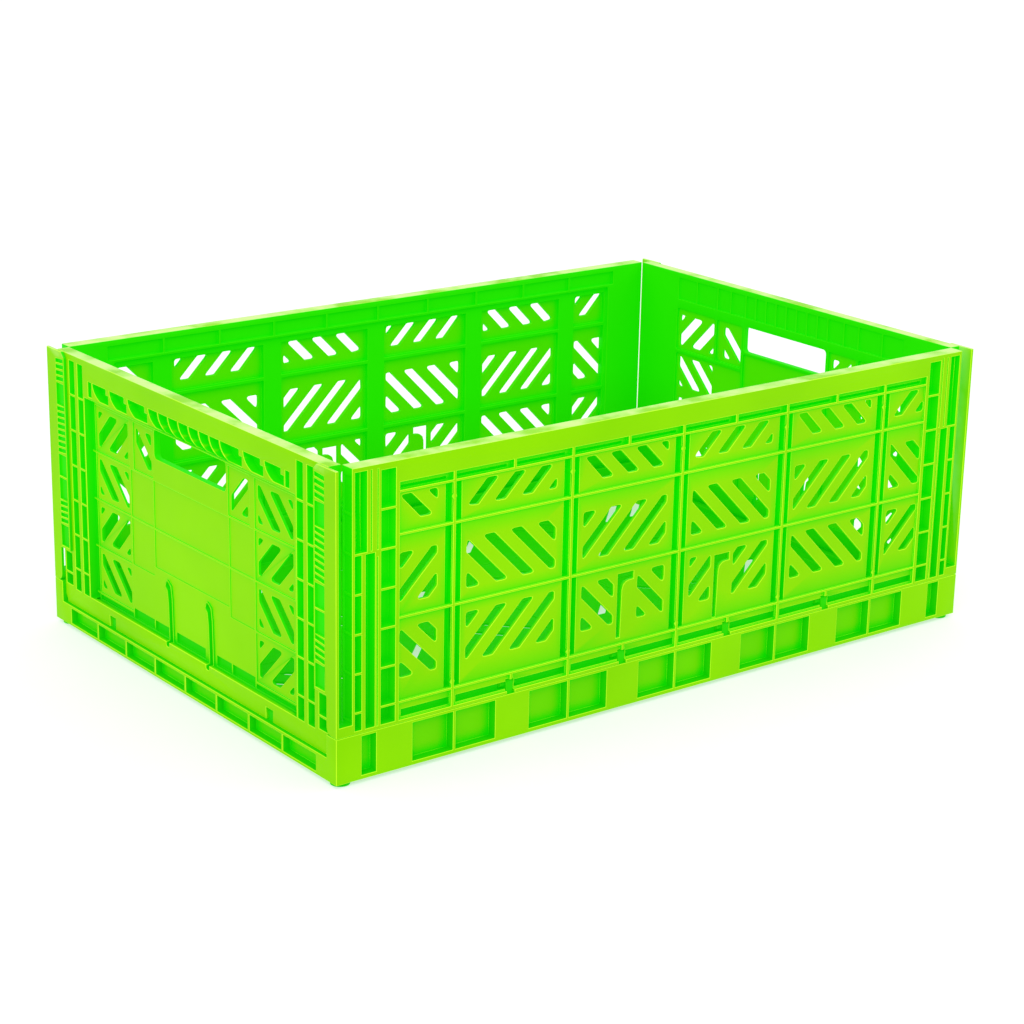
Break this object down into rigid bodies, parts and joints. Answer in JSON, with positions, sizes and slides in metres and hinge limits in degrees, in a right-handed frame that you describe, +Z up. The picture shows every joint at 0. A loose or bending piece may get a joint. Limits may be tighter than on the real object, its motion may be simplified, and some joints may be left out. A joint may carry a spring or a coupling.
{
  "type": "collapsible storage crate",
  "caption": "Open-topped folding storage crate with slotted lattice walls, hand openings in the end walls, and walls hinged to a shallow base tray.",
  "frame": {"origin": "on the ground under the middle of the open crate", "axes": "+X along the long walls, +Y from the front wall to the back wall, +Z up"},
  "size_m": [0.6, 0.4, 0.224],
  "materials": {
    "base_plastic": "satin moulded polypropylene",
    "wall_plastic": "satin moulded polypropylene"
  },
  "bodies": {
    "base": {"base_tray": "base_plastic"},
    "front": {"front_wall": "wall_plastic"},
    "back": {"back_wall": "wall_plastic"},
    "left_end": {"left_end_wall": "wall_plastic"},
    "right_end": {"right_end_wall": "wall_plastic"}
  },
  "joints": [
    {"name": "front_wall_fold", "type": "hinge", "parent": "base", "child": "front", "pos_m": [0, -0.194, 0.0428], "axis": [-1, 0, 0], "range_deg": [0, 90]},
    {"name": "back_wall_fold", "type": "hinge", "parent": "base", "child": "back", "pos_m": [0, 0.194, 0.0428], "axis": [1, 0, 0], "range_deg": [0, 90]},
    {"name": "left_end_wall_fold", "type": "hinge", "parent": "base", "child": "left_end", "pos_m": [-0.2924, 0, 0.025], "axis": [0, 1, 0], "range_deg": [0, 90]},
    {"name": "right_end_wall_fold", "type": "hinge", "parent": "base", "child": "right_end", "pos_m": [0.2924, 0, 0.025], "axis": [0, -1, 0], "range_deg": [0, 90]}
  ]
}
